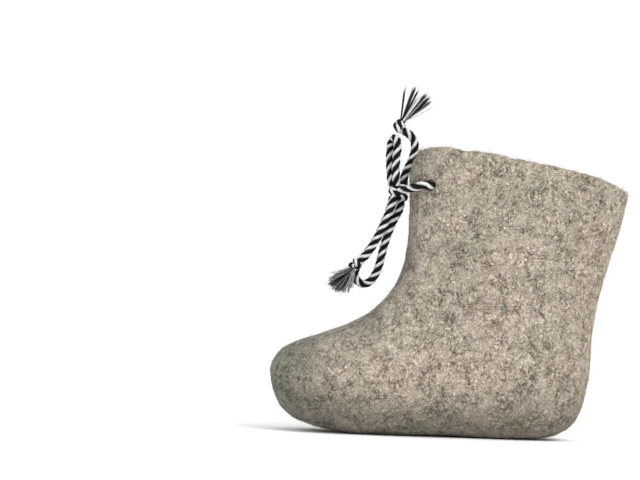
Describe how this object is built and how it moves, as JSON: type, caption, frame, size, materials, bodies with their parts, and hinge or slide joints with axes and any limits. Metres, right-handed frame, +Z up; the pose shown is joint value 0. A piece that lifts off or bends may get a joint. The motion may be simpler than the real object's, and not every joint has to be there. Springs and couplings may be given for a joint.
{
  "type": "valenki felt boot",
  "caption": "Child's grey-beige felted wool boot with a short front slit, a loose insole and a black and white cord tied in a bow.",
  "frame": {"origin": "on the floor, under the middle of the felt boot's own box", "axes": "+X towards the heel, -X towards the toe, +Z up"},
  "size_m": [0.2175, 0.08, 0.2159],
  "materials": {
    "felt": "melange wool felt, matt and fuzzy",
    "insole_felt": "needled wool felt, matt",
    "cord": "black and white twisted yarn, slight sheen",
    "threads": "loose black and white threads"
  },
  "bodies": {
    "root": {"felt_body": "felt", "insole": "insole_felt", "lace_bar": "cord", "bow_knot": "cord", "loop_upper": "cord", "loop_lower": "cord", "end_upper": "cord", "end_lower": "cord", "end_knot_upper": "cord", "end_knot_lower": "cord", "tassel_upper": "threads", "tassel_lower": "threads"}
  },
  "joints": []
}
